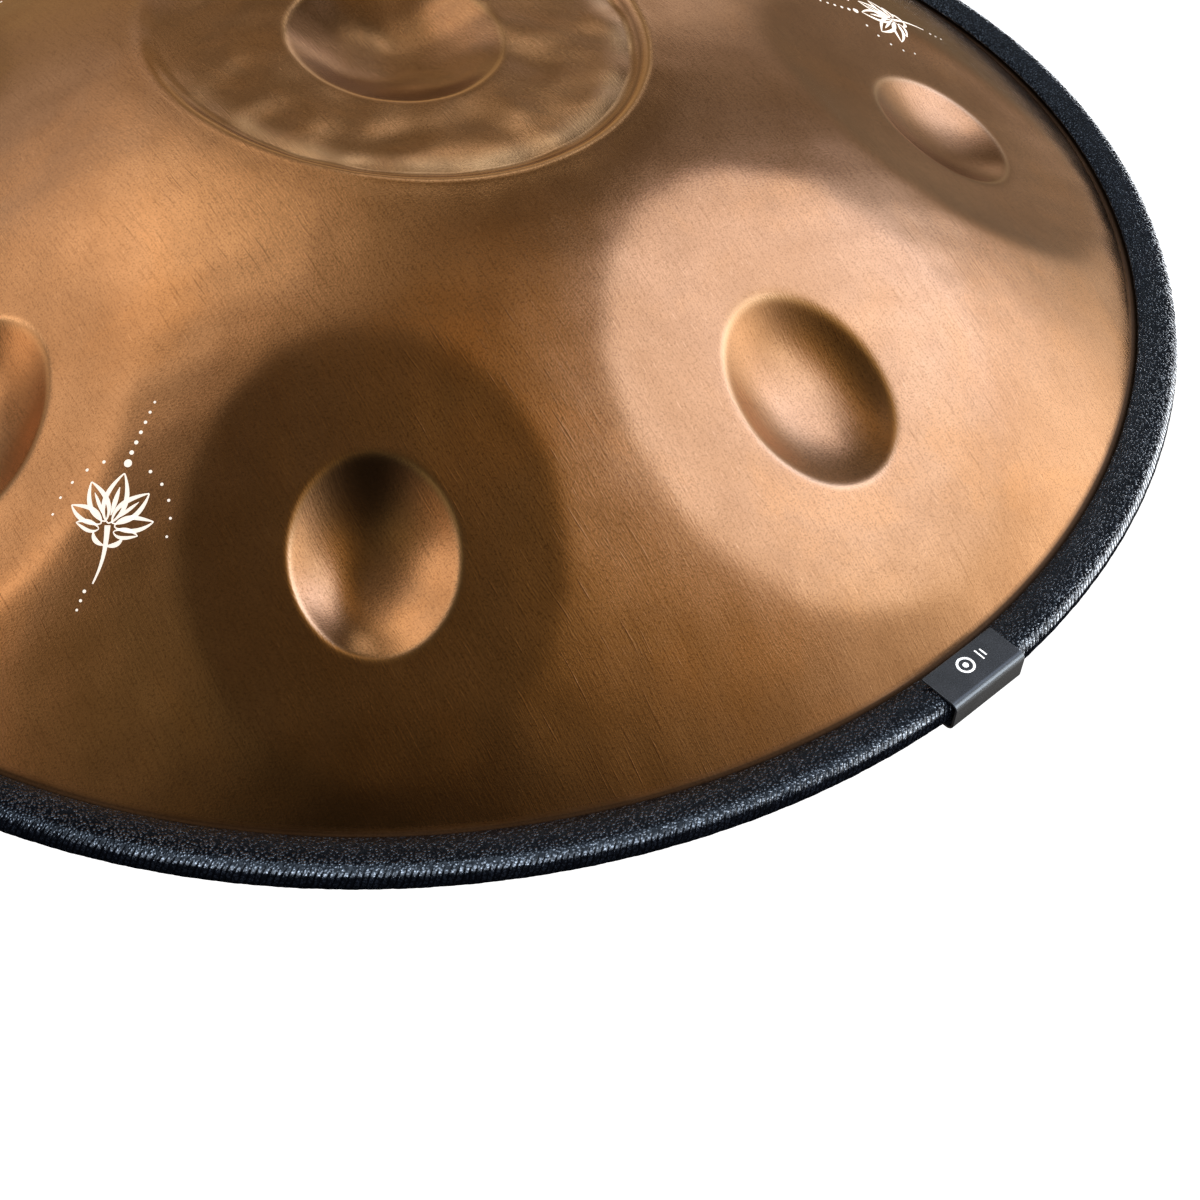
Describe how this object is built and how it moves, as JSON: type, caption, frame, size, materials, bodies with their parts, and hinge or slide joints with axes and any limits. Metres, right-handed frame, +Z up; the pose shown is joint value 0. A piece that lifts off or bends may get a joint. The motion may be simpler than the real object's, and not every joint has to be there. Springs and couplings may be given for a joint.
{
  "type": "handpan",
  "caption": "Round steel handpan: two domed shells joined at the rim, hammered tone fields round a sunken centre note, sound port below, dark rim trim with a clip.",
  "frame": {"origin": "on the pan's axis, at the plane of the flat ring round the sound port that it rests on", "axes": "+Z up along the pan's axis towards the centre note, -Y towards the player, +X to the player's right"},
  "size_m": [0.58, 0.58, 0.195],
  "materials": {
    "bronzed_steel": "satin, bronze tinted, fine brushed grain",
    "grained_vinyl": "leather grain",
    "carrier_steel": "mill",
    "coated_steel": "black satin",
    "cured_adhesive": "cured"
  },
  "bodies": {
    "root": {"top_shell": "bronzed_steel", "bottom_shell": "bronzed_steel", "seam_adhesive": "cured_adhesive", "edge_trim": "grained_vinyl", "trim_core": "carrier_steel", "trim_clip": "coated_steel"}
  },
  "joints": []
}
